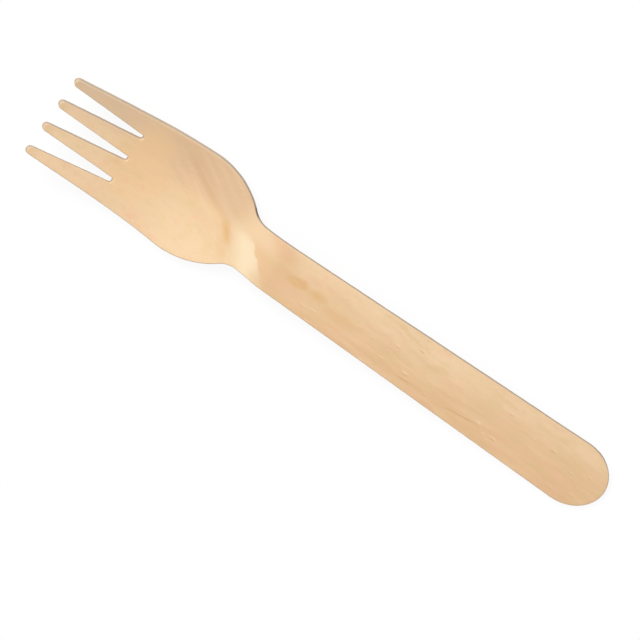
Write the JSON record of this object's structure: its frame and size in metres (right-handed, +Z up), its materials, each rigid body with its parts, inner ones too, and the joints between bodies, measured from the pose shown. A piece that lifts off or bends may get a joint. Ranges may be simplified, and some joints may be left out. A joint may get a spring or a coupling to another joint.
{
  "type": "wooden fork",
  "caption": "Disposable table fork pressed from one piece of birch veneer, with a dished head, tapered tines and a flat round-ended handle.",
  "frame": {"origin": "Middle of the bounding box, on the surface that the fork lies on.", "axes": "+X runs along the fork from the tines to the end of the handle, +Y runs across it, +Z points up out of the hollow side of the head."},
  "size_m": [0.16, 0.027, 0.0116],
  "materials": {
    "birch_veneer": "smooth unvarnished birch, sanded"
  },
  "bodies": {
    "root": {"fork": "birch_veneer"}
  },
  "joints": []
}
